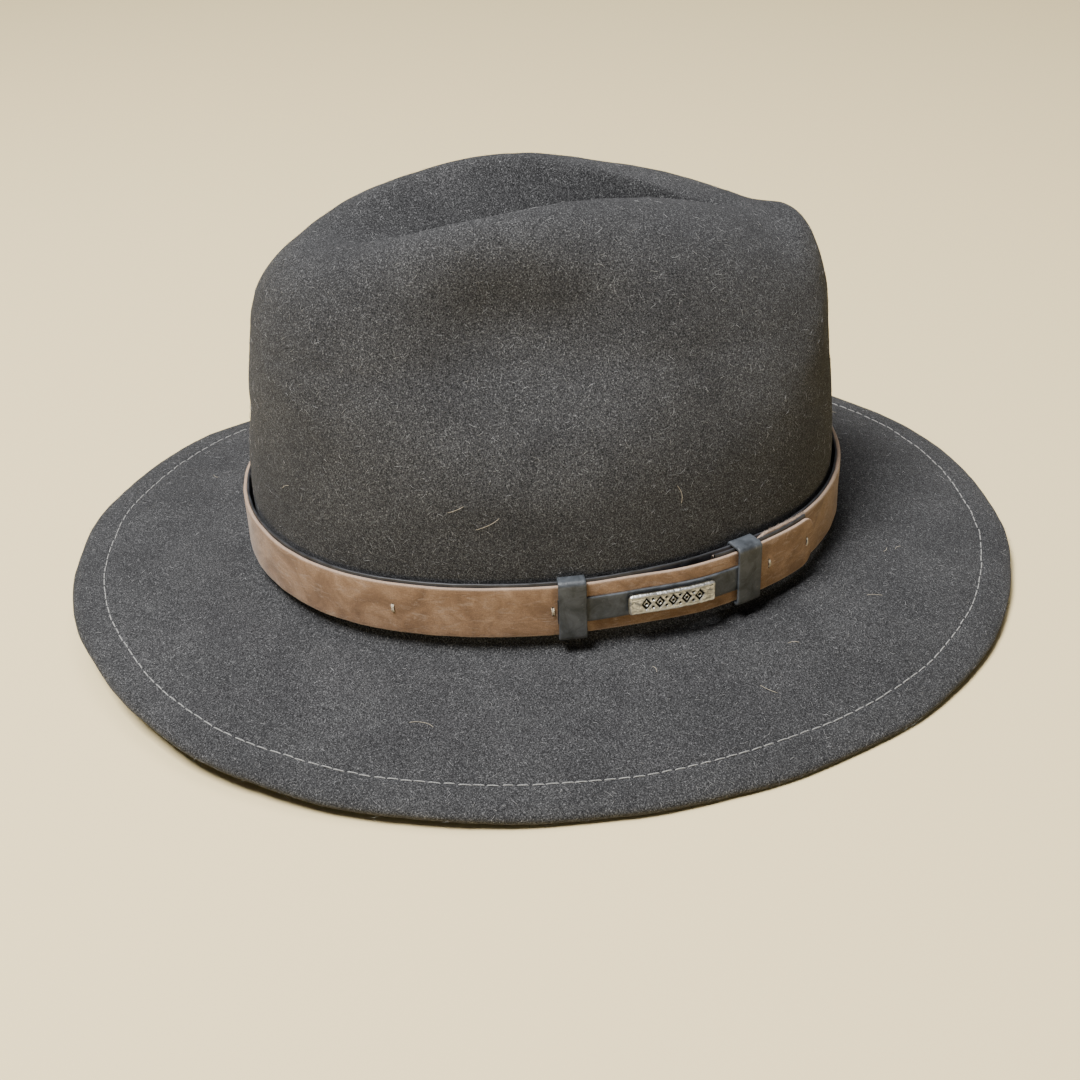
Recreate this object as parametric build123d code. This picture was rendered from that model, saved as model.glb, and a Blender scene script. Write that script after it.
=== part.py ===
from build123d import *
import math
import os

# Fedora hat, millimetres. +Z up, the wearer's face looks along -Y, the wearer's left is +X.
# The origin is on the surface the brim rests on, under the middle of the hat.
# "turn" is the direction of the outward normal round the head oval: 0 front, 90 left, 180 back.

# Head oval: outer face of the felt, four tangent arcs
CROWN_HALF_LENGTH = 103.0
CROWN_HALF_WIDTH = 80.6
END_RADIUS = 74.0

# Felt body
FELT = 2.3
BRIM_WIDTH = 65.8
BREAK_RADIUS = 5.0
WELT_WIDTH = 12.0
EDGE_RADIUS = 2.3
RIM_SADDLE = 3.4
RIM_PITCH = 3.8
BAND_BASE = 24.0
BREAK_DROP = 2.0
BRIM_SWEEP = 1.4

# Crown above the band's bottom edge
CREST_HEIGHT = 120.6
CREST_MIDDLE_Y = -6.3
CREST_ARCH = 311.0
CREST_HALF_WIDTH = 28.7
CREST_WIDEST_Y = -19.7
CREST_FRONT = 52.8
CREST_BACK = 80.0
SHOULDER_DROP = (27.5, 78.0, 31.0)
SHOULDER_POWER = (1.7, 1.75, 2.0)
WALL_LEAN = (6.8, 11.0, 4.7)
LEAN_START = 20.0
LEAN_SPAN = 60.0
DENT_FLOOR = 97.5
DENT_FLOOR_HALF_LENGTH = 44.0
DENT_FLOOR_HALF_WIDTH = 7.0
DENT_FLOOR_Y = -8.0
DENT_FLOOR_SLOPE = 0.15
PINCH_DEPTH = 14.0
PINCH_Y = -16.0
PINCH_HEIGHT = 90.0
PINCH_HALF_LENGTH = 36.0
PINCH_HALF_HEIGHT = 22.0
PINCH_BLEND = 25.0
BACK_LIFT = 7.0
BACK_LIFT_Y = 93.0
BACK_LIFT_REACH = 9.2
BACK_LIFT_START = 60.0
BACK_LIFT_SPAN = 35.0

# Hat band: black backing, then one brown strap whose end laps over its start on the left side
BAND_GAP = 1.2
BACKING = 0.8
BACKING_SHOW = 1.0
BAND_LEATHER = 1.2
BAND_HEIGHT = 18.6
LAP_GAP = 0.9
LAP_RISE_START = 94.5
LAP_RISE_END = 105.6
LAP_UNDER_END = 106.4
STRAP_TIP = 130.2
LAP_BACKING_SHORT = 2.5
TIP_ROUND = 5.0

# Fittings on the band, on the left side arc
KEEPER_WIDTH = 9.0
KEEPER_LEATHER = 1.0
KEEPER_BACK_LEATHER = 0.6
RUN_CLEARANCE = 0.3
FRONT_KEEPER_TURN = 87.3
REAR_KEEPER_TURN = 111.0
BADGE_STRAP = 1.0
BADGE_STRAP_HEIGHT = 9.0
BADGE_TURN = 100.0
BADGE_LENGTH = 29.0
BADGE_HEIGHT = 7.6
BADGE_THICKNESS = 2.2
PRONG = 1.2
PRONG_SPACING = 16.0
TACK_TURNS = (64.5, 84.9, 114.8, 127.6)
TACK_THREAD = 0.45
TACK_HEIGHT = 4.0
TACK_LEG_SHARE = 0.8

# Inside the crown
SWEAT_GAP = 1.2
SWEAT_LEATHER = 0.9
SWEAT_HEIGHT = 36.0
SWEAT_SEAM_GAP = 0.6
REED_RADIUS = 0.5
REED_GAP = 0.1
SWEAT_STITCH_RISE = 2.4
SWEAT_THREAD = 0.3
TAPE_HALF_TURN = 3.5
TAPE_START = 3.0
TRIM_CLEARANCE = 0.02
TRIM_THICKNESS = 0.36
BOW_LOOP = (5.0, 3.0)
BOW_LOOP_HOLE = (3.4, 1.6)
BOW_RIBBON = 0.6
BOW_KNOT = (2.4, 3.2, 1.6)
BOW_STAND = 0.9
BOW_RISE = 8.0
TAG_TURNS = (202.0, 213.0)
TAG_RISE = 6.0
TAG_HEIGHT = 16.0
THREAD = 0.35
STITCH_INSET = 11.0

COLUMNS = 72
WALL_STEPS = 6
SHOULDER_STEPS = 14
DENT_STEPS = 8
side_radius = (
    (CROWN_HALF_LENGTH - END_RADIUS) ** 2 + CROWN_HALF_WIDTH**2 - END_RADIUS**2
) / (2 * (CROWN_HALF_WIDTH - END_RADIUS))
end_centre = CROWN_HALF_LENGTH - END_RADIUS
side_centre = side_radius - CROWN_HALF_WIDTH
arc_change = math.degrees(math.atan2(side_centre, end_centre))
break_level = BAND_BASE - BREAK_DROP
band_outer = BAND_GAP + BACKING + BAND_LEATHER
lap_outer = band_outer + LAP_GAP + BAND_LEATHER


def oval(turn, offset=0.0):
    """Point on the head oval moved outwards by offset, at the given normal direction."""
    sine = math.sin(math.radians(turn))
    cosine = math.cos(math.radians(turn))
    if abs(math.degrees(math.atan2(abs(sine), abs(cosine)))) <= arc_change:
        reach = END_RADIUS + offset
        return reach * sine, -math.copysign(end_centre, cosine) - reach * cosine
    reach = side_radius + offset
    return -math.copysign(side_centre, sine) + reach * sine, -reach * cosine


def round_the_head(turn, front_side_back):
    """Blend three values smoothly from the front over the side to the back."""
    front, side, back = front_side_back
    cosine = math.cos(math.radians(turn))
    end = front if cosine > 0 else back
    return side + (end - side) * cosine**2


def rim_height(turn):
    """Height of the middle of the brim's edge: lowest at the sides, highest in front."""
    angle = math.radians(turn)
    lowest = RIM_PITCH**2 / (8 * RIM_SADDLE)
    return EDGE_RADIUS + RIM_SADDLE * (1 + math.cos(2 * angle)) + RIM_PITCH * math.cos(angle) + lowest


def brim_top(turn, share):
    """Height of the brim's upper face, share 0 at the break and 1 at the edge."""
    start = break_level - BREAK_RADIUS
    end = rim_height(turn) + EDGE_RADIUS
    return start + (end - start) * share**BRIM_SWEEP


def crest(turn, inset):
    """Top line of the crown: round in front and drawn to a point at the back."""
    sine = math.sin(math.radians(turn))
    cosine = math.cos(math.radians(turn))
    half_width = CREST_HALF_WIDTH - 0.4 * inset
    if cosine > 0:
        return half_width * sine, CREST_WIDEST_Y - (CREST_FRONT - inset) * cosine
    width = math.copysign(half_width * (1 - (-cosine) ** 1.5) ** 1.25, sine)
    return width, CREST_WIDEST_Y - (CREST_BACK - inset) * cosine


def crest_height(y, inset):
    return BAND_BASE + CREST_HEIGHT - inset - (y - CREST_MIDDLE_Y) ** 2 / CREST_ARCH


def shaped(x, y, z, turn, hold):
    """Lean the wall in, press in the side pinches and square the back corner; hold is 0 at the crest."""
    rise = min(max((z - BAND_BASE - LEAN_START) / LEAN_SPAN, 0.0), 1.0) ** 1.5
    lean = round_the_head(turn, WALL_LEAN) * rise * hold
    x -= lean * math.sin(math.radians(turn))
    y += lean * math.cos(math.radians(turn))
    along = (y - PINCH_Y) / PINCH_HALF_LENGTH
    up = (z - BAND_BASE - PINCH_HEIGHT) / PINCH_HALF_HEIGHT
    x -= PINCH_DEPTH * math.exp(-(along**2) - up**2) * math.tanh(x / PINCH_BLEND)
    high = min(max((z - BAND_BASE - BACK_LIFT_START) / BACK_LIFT_SPAN, 0.0), 1.0)
    z += BACK_LIFT * math.exp(-(((y - BACK_LIFT_Y) / BACK_LIFT_REACH) ** 2)) * high
    return Vector(x, y, z)


def crown_rows(turn, inset):
    """Points from the break up the wall, over the crest and down to the floor of the dent."""
    base_x, base_y = oval(turn, -inset)
    crest_x, crest_y = crest(turn, inset)
    top = crest_height(crest_y, inset)
    drop = round_the_head(turn, SHOULDER_DROP) - 0.5 * inset
    power = 2 / round_the_head(turn, SHOULDER_POWER)
    shoulder = top - drop
    rows = []
    for step in range(WALL_STEPS):
        z = break_level + (shoulder - break_level) * step / WALL_STEPS
        rows.append(shaped(base_x, base_y, z, turn, 1.0))
    for step in range(SHOULDER_STEPS):
        angle = math.pi / 2 * step / SHOULDER_STEPS
        reach = math.cos(angle) ** power
        x = crest_x + (base_x - crest_x) * reach
        y = crest_y + (base_y - crest_y) * reach
        rows.append(shaped(x, y, shoulder + drop * math.sin(angle) ** power, turn, reach))
    half_width = DENT_FLOOR_HALF_WIDTH + 0.8 * inset
    half_length = DENT_FLOOR_HALF_LENGTH + 1.6 * inset
    floor_x = half_width * math.sin(math.radians(turn))
    floor_y = DENT_FLOOR_Y - half_length * math.cos(math.radians(turn))
    floor = BAND_BASE + DENT_FLOOR - inset - DENT_FLOOR_SLOPE * (floor_y - DENT_FLOOR_Y)
    for step in range(DENT_STEPS + 1):
        share = 1 - step / DENT_STEPS
        x = floor_x + (crest_x - floor_x) * share
        y = floor_y + (crest_y - floor_y) * share
        sink = (1 - share**2) ** 2
        z = crest_height(y, inset) * (1 - sink) + floor * sink
        rows.append(shaped(x, y, z, turn, 0.0))
    return rows


def brim_rows(turn):
    """Points from the inner break, under the brim, round its edge and back to the outer break."""
    profile = []
    for degrees in (15, 30, 45, 60, 75):
        reach = BREAK_RADIUS + FELT
        angle = math.radians(degrees)
        profile.append((BREAK_RADIUS - reach * math.cos(angle), break_level - reach * math.sin(angle)))
    run = BRIM_WIDTH - EDGE_RADIUS - BREAK_RADIUS
    welt_share = 1 - WELT_WIDTH / run
    for share in (0, 0.15, 0.3, 0.45, 0.6, 0.7, welt_share - 0.02):
        profile.append((BREAK_RADIUS + run * share, brim_top(turn, share) - FELT))
    for share in (welt_share, 0.5 + welt_share / 2):
        profile.append((BREAK_RADIUS + run * share, brim_top(turn, share) - 2 * EDGE_RADIUS))
    for degrees in range(-90, 91, 30):
        angle = math.radians(degrees)
        offset = BRIM_WIDTH - EDGE_RADIUS + EDGE_RADIUS * math.cos(angle)
        profile.append((offset, rim_height(turn) + EDGE_RADIUS * math.sin(angle)))
    for share in (0.9, 0.75, 0.6, 0.45, 0.3, 0.15, 0):
        profile.append((BREAK_RADIUS + run * share, brim_top(turn, share)))
    for degrees in (75, 60, 45, 30, 15):
        angle = math.radians(degrees)
        profile.append((BREAK_RADIUS * (1 - math.cos(angle)), break_level - BREAK_RADIUS * math.sin(angle)))
    return [Vector(*oval(turn, offset), z) for offset, z in profile]


def felt_column(turn):
    """One run of points through the felt: inside first, then the brim, then outside."""
    return crown_rows(turn, FELT)[::-1] + brim_rows(turn) + crown_rows(turn, 0.0)


def ring(points):
    shares = [step / len(points) for step in range(len(points) + 1)]
    return Wire([Edge.make_spline(points, parameters=shares, periodic=True)])


def felt_body():
    """Crown and brim in one felt, skinned ring by ring from the dent inside to the dent outside."""
    columns = [felt_column(360 * step / COLUMNS) for step in range(COLUMNS)]
    rings = [ring(points) for points in zip(*columns)]
    return Solid.make_loft(rings, ruled=True)


def oval_wire(offset):
    """The four arcs of the head oval, moved outwards by offset."""
    stops = (-arc_change, arc_change, 180 - arc_change, 180 + arc_change, 360 - arc_change)
    arcs = []
    for start, end in zip(stops, stops[1:]):
        points = [oval(turn, offset) for turn in (start, (start + end) / 2, end)]
        arcs.append(Edge.make_three_point_arc(*points))
    return Wire(arcs)


def oval_ring(inner, outer, bottom, height):
    """Closed upright ring between two offsets of the head oval."""
    flat = Face(oval_wire(outer), [oval_wire(inner)])
    return Pos(0, 0, bottom) * extrude(flat, height, dir=(0, 0, 1))


def strip(start, end, inner, outer, bottom, height, step=3.0):
    """Upright strip round part of the oval; inner and outer give the offset at each turn."""
    count = max(4, round((end - start) / step))
    turns = [start + (end - start) * index / count for index in range(count + 1)]
    inside = Edge.make_spline([oval(turn, inner(turn)) for turn in turns])
    outside = Edge.make_spline([oval(turn, outer(turn)) for turn in turns])
    ends = [Edge.make_line(inside @ at, outside @ at) for at in (0, 1)]
    flat = Face(Wire([inside, ends[1], outside, ends[0]]))
    return Pos(0, 0, bottom) * extrude(flat, height, dir=(0, 0, 1))


def plain_strip(start, end, inner, outer, bottom, height):
    return strip(start, end, lambda turn: inner, lambda turn: outer, bottom, height, 1.0)


def lap_rise(turn):
    """How far the strap has climbed on to its own lap, 0 before and 1 over it."""
    share = (turn - 360 - LAP_RISE_START) / (LAP_RISE_END - LAP_RISE_START)
    share = min(max(share, 0.0), 1.0)
    return share * share * (3 - 2 * share)


def strap_inner(turn):
    return BAND_GAP + BACKING + (BAND_LEATHER + LAP_GAP) * lap_rise(turn)


def strap_outer(turn):
    return strap_inner(turn) + BAND_LEATHER


def facing(turn, offset, height):
    """A place on the band with its X axis along the outward normal and Z up."""
    x, y = oval(turn, offset)
    return Location((x, y, height), (0, 0, turn - 90))


def band_leather():
    """The brown strap: under its own lap on the left, once round the crown, and over the lap."""
    strap = strip(LAP_UNDER_END, 360 + STRAP_TIP, strap_inner, strap_outer, BAND_BASE, BAND_HEIGHT, 1.0)
    tip = facing(STRAP_TIP, lap_outer, band_middle).position
    corners = strap.edges().filter_by(GeomType.LINE).sort_by_distance(tip)
    corners = [edge for edge in corners[:6] if abs(edge.tangent_at(0).Z) < 0.5 and edge.length < 2]
    return fillet(corners[:2], TIP_ROUND)


def lap_backing():
    """Black backing under the strap's free end, where it lies on its own lap."""
    inner = band_outer + (LAP_GAP - BACKING) / 2
    height = BAND_HEIGHT + BACKING_SHOW
    end = STRAP_TIP - LAP_BACKING_SHORT
    return plain_strip(LAP_UNDER_END, end, inner, inner + BACKING, BAND_BASE, height)


def keeper(turn, inner):
    """Leather loop closed round the band, free to slide along it."""
    half = math.degrees(KEEPER_WIDTH / 2 / (side_radius + inner))
    start, end = turn - half, turn + half
    low = BAND_BASE - RUN_CLEARANCE
    opening = BAND_HEIGHT + BACKING_SHOW + 2 * RUN_CLEARANCE
    back = BAND_GAP - RUN_CLEARANCE
    loop = plain_strip(
        start, end, back - KEEPER_BACK_LEATHER, inner + KEEPER_LEATHER,
        low - KEEPER_LEATHER, opening + 2 * KEEPER_LEATHER,
    )
    return loop - plain_strip(start - 1, end + 1, back, inner, low, opening)


def on_strap(turn):
    """Offset of the strap's outer face, where the badge strap lies."""
    return strap_outer(turn + 360)


def on_badge_strap(turn):
    return on_strap(turn) + BADGE_STRAP


def badge_strap():
    """Narrow black strap lying on the band from one keeper to the other."""
    half = math.degrees(KEEPER_WIDTH / 2 / side_radius)
    return strip(
        FRONT_KEEPER_TURN - half, REAR_KEEPER_TURN + half, on_strap, on_badge_strap,
        band_middle - BADGE_STRAP_HEIGHT / 2, BADGE_STRAP_HEIGHT, 1.0,
    )


def badge_face(turn):
    return on_badge_strap(turn) + BADGE_THICKNESS


def badge():
    """Cast metal bar bent to the strap, with two prongs through the straps."""
    half = math.degrees(BADGE_LENGTH / 2 / (side_radius + lap_outer))
    bar = strip(
        BADGE_TURN - half, BADGE_TURN + half, on_badge_strap, badge_face,
        band_middle - BADGE_HEIGHT / 2, BADGE_HEIGHT, 1.0,
    )
    prong_half = math.degrees(PRONG_SPACING / 2 / (side_radius + lap_outer))
    for turn in (BADGE_TURN - prong_half, BADGE_TURN + prong_half):
        root = on_badge_strap(turn) + PRONG / 2
        reach = root - BAND_GAP - BACKING
        prong = Box(reach, PRONG, PRONG / 2, align=(Align.MAX, Align.CENTER, Align.CENTER))
        bar += facing(turn, root, band_middle) * prong
    return bar


def band_tacks():
    """Thread tacks that hold the band to the felt: an upright bar and two legs each."""
    tacks = []
    for turn in TACK_TURNS:
        surface = strap_outer(turn + 360)
        reach = surface + FELT + TACK_THREAD
        tack = Cylinder(TACK_THREAD, TACK_HEIGHT)
        for side in (-1, 1):
            leg = Cylinder(TACK_LEG_SHARE * TACK_THREAD, reach, align=(Align.CENTER, Align.CENTER, Align.MAX))
            tack += Pos(0, 0, side * (TACK_HEIGHT / 2 - 2 * TACK_THREAD)) * Rot(0, 90, 0) * leg
        tacks.append(facing(turn, surface, band_middle) * tack)
    return Compound(children=tacks)


def stitch_line(height):
    """Closed thread line sewn through the brim, just inside its folded edge."""
    share = (BRIM_WIDTH - STITCH_INSET - BREAK_RADIUS) / (BRIM_WIDTH - EDGE_RADIUS - BREAK_RADIUS)
    middle = BRIM_WIDTH - STITCH_INSET
    edges = []
    for side in range(6):
        angle = math.radians(60 * side)
        across, up = THREAD * math.cos(angle), height + THREAD * math.sin(angle)
        turns = [360 * step / COLUMNS for step in range(COLUMNS)]
        points = [Vector(*oval(turn, middle + across), brim_top(turn, share) + up) for turn in turns]
        edges.append(Edge.make_spline(points, periodic=True))
    pairs = zip(edges, edges[1:] + edges[:1])
    return Solid(Shell([Face.make_surface_from_curves(one, other) for one, other in pairs]))


def sweatband():
    """Leather headband, a strip whose ends meet at the back."""
    outer = -(FELT + SWEAT_GAP)
    gap = math.degrees(SWEAT_SEAM_GAP / 2 / END_RADIUS)
    return strip(
        180 + gap, 540 - gap, lambda turn: outer - SWEAT_LEATHER, lambda turn: outer,
        sweat_bottom, SWEAT_HEIGHT,
    )


def sweatband_reed():
    """Round plastic reed that stiffens the sweatband's sewn edge."""
    offset = -(FELT + REED_GAP + REED_RADIUS)
    path = Pos(0, 0, sweat_bottom + REED_RADIUS) * oval_wire(offset)
    start = Plane(origin=path @ 0, z_dir=path % 0)
    return sweep(start * Circle(REED_RADIUS), path=path)


def sweatband_stitching():
    """Thread sewn round the sweatband, just above the reed."""
    offset = -(FELT + SWEAT_GAP + SWEAT_LEATHER)
    path = Pos(0, 0, sweat_bottom + SWEAT_STITCH_RISE) * oval_wire(offset)
    start = Plane(origin=path @ 0, z_dir=path % 0)
    return sweep(start * Circle(SWEAT_THREAD), path=path)


def seam_tape():
    """Cloth tape behind the sweatband that joins its two ends."""
    inner = -(FELT + SWEAT_GAP) + TRIM_CLEARANCE
    return plain_strip(
        180 - TAPE_HALF_TURN, 180 + TAPE_HALF_TURN, inner, inner + TRIM_THICKNESS,
        sweat_bottom + TAPE_START, SWEAT_HEIGHT - TAPE_START,
    )


def sweatband_bow():
    """Small ribbon bow sewn over the sweatband's seam: two flat loops and a knot."""
    place = Pos(BOW_LOOP[0], 0, 0)
    loop = place * Ellipse(*BOW_LOOP) - place * Ellipse(*BOW_LOOP_HOLE)
    flat = extrude(loop, BOW_RIBBON) + extrude(mirror(loop, Plane.YZ), BOW_RIBBON) + Box(*BOW_KNOT)
    inner = -(FELT + SWEAT_GAP + SWEAT_LEATHER + BOW_STAND)
    return Pos(*oval(180, inner), sweat_bottom + BOW_RISE) * Rot(90, 0, 0) * flat


def size_tag():
    """Blank woven tag on the sweatband, behind the wearer's right ear."""
    outer = -(FELT + SWEAT_GAP + SWEAT_LEATHER + TRIM_CLEARANCE)
    start, end = TAG_TURNS
    return plain_strip(start, end, outer - TRIM_THICKNESS, outer, sweat_bottom + TAG_RISE, TAG_HEIGHT)


band_middle = BAND_BASE + BAND_HEIGHT / 2
front_keeper_inner = band_outer + BADGE_STRAP + RUN_CLEARANCE
rear_keeper_inner = lap_outer + BADGE_STRAP + RUN_CLEARANCE
sweat_bottom = break_level - 4.0

PARTS = {
    "felt_body": felt_body(),
    "brim_stitching_top": stitch_line(0.0),
    "brim_stitching_under": stitch_line(-2 * EDGE_RADIUS),
    "band_backing": oval_ring(
        BAND_GAP, BAND_GAP + BACKING, BAND_BASE, BAND_HEIGHT + BACKING_SHOW
    ),
    "band_leather": band_leather(),
    "lap_backing": lap_backing(),
    "keeper_front": keeper(FRONT_KEEPER_TURN, front_keeper_inner),
    "keeper_rear": keeper(REAR_KEEPER_TURN, rear_keeper_inner),
    "badge_strap": badge_strap(),
    "badge": badge(),
    "band_tacks": band_tacks(),
    "sweatband": sweatband(),
    "sweatband_reed": sweatband_reed(),
    "sweatband_stitching": sweatband_stitching(),
    "sweatband_seam_tape": seam_tape(),
    "sweatband_bow": sweatband_bow(),
    "size_tag": size_tag(),
}
os.makedirs("parts", exist_ok=True)
for name, solid in PARTS.items():
    export_step(solid, f"parts/{name}.step")
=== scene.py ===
from math import atan2, cos, degrees, pi, radians, sin, sqrt

import bpy
import numpy as np
from mathutils import Matrix, Vector


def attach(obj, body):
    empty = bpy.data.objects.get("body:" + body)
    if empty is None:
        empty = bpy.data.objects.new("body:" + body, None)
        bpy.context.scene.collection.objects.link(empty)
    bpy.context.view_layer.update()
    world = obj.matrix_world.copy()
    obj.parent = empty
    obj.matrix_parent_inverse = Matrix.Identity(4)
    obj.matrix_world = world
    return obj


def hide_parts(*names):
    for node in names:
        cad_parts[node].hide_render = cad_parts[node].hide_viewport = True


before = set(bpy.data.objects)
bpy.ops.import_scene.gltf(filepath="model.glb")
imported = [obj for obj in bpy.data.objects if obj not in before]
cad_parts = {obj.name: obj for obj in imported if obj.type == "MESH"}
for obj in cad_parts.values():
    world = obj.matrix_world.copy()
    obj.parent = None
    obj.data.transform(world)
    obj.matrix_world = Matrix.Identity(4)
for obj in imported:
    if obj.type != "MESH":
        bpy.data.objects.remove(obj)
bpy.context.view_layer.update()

# Lengths below are millimetres, the same driving dimensions as the CAD model.
# A mesh is scaled to metres when it is made.
MM = 0.001

# Head oval at the felt's outer face: four tangent arcs
HALF_LENGTH = 103.0
HALF_WIDTH = 80.6
END_RADIUS = 74.0
SIDE_RADIUS = ((HALF_LENGTH - END_RADIUS) ** 2 + HALF_WIDTH**2 - END_RADIUS**2) / (
    2 * (HALF_WIDTH - END_RADIUS)
)
END_CENTRE = HALF_LENGTH - END_RADIUS
SIDE_CENTRE = SIDE_RADIUS - HALF_WIDTH
ARC_CHANGE = atan2(SIDE_CENTRE, END_CENTRE)

# Felt
FELT = 2.3
BRIM_WIDTH = 65.8
BREAK_RADIUS = 5.0
BREAK_DROP = 2.0
WELT_WIDTH = 12.0
EDGE_RADIUS = 2.3
RIM_SADDLE = 3.4
RIM_PITCH = 3.8
BRIM_SWEEP = 1.4
BAND_BASE = 24.0
STITCH_INSET = 11.0
CREST_HEIGHT = 120.6
CREST_MIDDLE_Y = -6.3
CREST_ARCH = 311.0
CREST_HALF_WIDTH = 28.7
CREST_WIDEST_Y = -19.7
CREST_FRONT = 52.8
CREST_BACK = 80.0
SHOULDER_DROP = (27.5, 78.0, 31.0)
SHOULDER_POWER = (1.7, 1.75, 2.0)
WALL_LEAN = (6.8, 11.0, 4.7)
LEAN_START = 20.0
LEAN_SPAN = 60.0
DENT_FLOOR = 97.5
DENT_FLOOR_HALF_LENGTH = 44.0
DENT_FLOOR_HALF_WIDTH = 7.0
DENT_FLOOR_Y = -8.0
DENT_FLOOR_SLOPE = 0.15
# Under the felt the dent's floor is wider and longer by these shares of the felt's thickness, each way
DENT_WIDER_INSIDE = 0.8
DENT_LONGER_INSIDE = 1.6
PINCH_DEPTH = 14.0
PINCH_Y = -16.0
PINCH_HEIGHT = 90.0
PINCH_HALF_LENGTH = 36.0
PINCH_HALF_HEIGHT = 22.0
PINCH_BLEND = 25.0
BACK_LIFT = 7.0
BACK_LIFT_Y = 93.0
BACK_LIFT_REACH = 9.2
BACK_LIFT_START = 60.0
BACK_LIFT_SPAN = 35.0

# Hat band and its fittings
BAND_GAP = 1.2
BACKING = 0.8
BACKING_SHOW = 1.0
BAND_LEATHER = 1.2
BAND_HEIGHT = 18.6
LAP_GAP = 0.9
LAP_RISE_START = 94.5
LAP_RISE_END = 105.6
LAP_UNDER_END = 106.4
STRAP_TIP = 130.2
LAP_BACKING_SHORT = 2.5
LAP_LIFT = 1.5
LAP_LIFT_START = (113.3, 114.6)
LAP_LIFT_FALL = (117.0, 131.0)
TIP_ROUND = 5.0
KEEPER_WIDTH = 9.0
KEEPER_LEATHER = 1.0
KEEPER_BACK_LEATHER = 0.6
KEEPER_BEND = 0.7
KEEPER_EDGE = 0.32
RUN_CLEARANCE = 0.3
FRONT_KEEPER_TURN = 87.3
REAR_KEEPER_TURN = 111.0
BADGE_STRAP = 1.0
BADGE_STRAP_HEIGHT = 9.0
BADGE_TURN = 100.0
BADGE_LENGTH = 29.0
BADGE_HEIGHT = 7.6
BADGE_THICKNESS = 2.2
BADGE_CORNER = 1.6
BADGE_RELIEF = 1.05
LOZENGE_PITCH = 4.4
LOZENGE_HALF_WIDTH = 1.65
LOZENGE_HALF_HEIGHT = 2.2
DOT_HEIGHT = 1.55
ENGRAVING = 0.50
TACK_TURNS = (64.5, 84.9, 114.8, 127.6)
TACK_HEIGHT = 3.3
WORN_EDGE = 0.9
BACKING_RAISE = 0.2
BACKING_TOP = BAND_BASE + BAND_HEIGHT + BACKING_SHOW
BAND_MIDDLE = BAND_BASE + BAND_HEIGHT / 2
LAP_OUTER = BAND_GAP + BACKING + 2 * BAND_LEATHER + LAP_GAP
FRONT_KEEPER_INNER = BAND_GAP + BACKING + BAND_LEATHER + BADGE_STRAP + RUN_CLEARANCE
REAR_KEEPER_INNER = LAP_OUTER + BADGE_STRAP + RUN_CLEARANCE

# Inside the crown
SWEAT_GAP = 1.2
SWEAT_LEATHER = 0.9
SWEAT_HEIGHT = 36.0
BREAK_LEVEL = BAND_BASE - BREAK_DROP
SWEAT_BOTTOM = BREAK_LEVEL - 4.0
SWEAT_OUTER = -(FELT + SWEAT_GAP)
SWEAT_INNER = SWEAT_OUTER - SWEAT_LEATHER
SWEAT_SEAM = 0.3
BOW_PROUD = 0.9

# Camera: where the photograph was taken from, seen from the middle of the band
CAMERA_AZIMUTH = 80.35
CAMERA_ELEVATION = 31.35
CAMERA_ROLL = -1.97
CAMERA_DISTANCE = 0.581
CAMERA_LENS = 53.3
CAMERA_SHIFT = (-0.0047, -0.0387)


# ---- shape formulas


def oval(turn, offset=0.0):
    """Points on the head oval moved outwards by offset, at outward normal directions in radians."""
    turn = np.asarray(turn, float)
    sine, cosine = np.sin(turn), np.cos(turn)
    on_end = np.arctan2(np.abs(sine), np.abs(cosine)) <= ARC_CHANGE
    end_reach, side_reach = END_RADIUS + offset, SIDE_RADIUS + offset
    x = np.where(on_end, end_reach * sine, side_reach * sine - np.sign(sine) * SIDE_CENTRE)
    y = np.where(on_end, -end_reach * cosine - np.sign(cosine) * END_CENTRE, -side_reach * cosine)
    return x, y


def on_oval(turn, offset, z):
    """Points at outward normal directions on the oval moved outwards by offset, at height z."""
    x, y = oval(turn, offset)
    return np.stack([x, y, z + 0 * x], -1)


def round_the_head(turn, front_side_back):
    """Blend three values smoothly from the front over the side to the back."""
    front, side, back = front_side_back
    cosine = np.cos(turn)
    return side + (np.where(cosine > 0, front, back) - side) * cosine**2


def rim_height(turn):
    """Height of the middle of the brim's edge."""
    lowest = RIM_PITCH**2 / (8 * RIM_SADDLE)
    return EDGE_RADIUS + RIM_SADDLE * (1 + np.cos(2 * turn)) + RIM_PITCH * np.cos(turn) + lowest


def brim_top(turn, share):
    """Height of the brim's upper face, share 0 at the break and 1 at the edge."""
    start = BREAK_LEVEL - BREAK_RADIUS
    return start + (rim_height(turn) + EDGE_RADIUS - start) * share**BRIM_SWEEP


def crest(turn, inset):
    """Top line of the crown: round in front and drawn to a point at the back."""
    sine, cosine = np.sin(turn), np.cos(turn)
    half_width = CREST_HALF_WIDTH - 0.4 * inset
    back = np.clip(-cosine, 0, 1)
    pointed = np.sign(sine) * half_width * (1 - back**1.5) ** 1.25
    x = np.where(cosine > 0, half_width * sine, pointed)
    reach = np.where(cosine > 0, CREST_FRONT - inset, CREST_BACK - inset)
    return x, CREST_WIDEST_Y - reach * cosine


def crest_height(y, inset):
    return BAND_BASE + CREST_HEIGHT - inset - (y - CREST_MIDDLE_Y) ** 2 / CREST_ARCH


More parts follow.
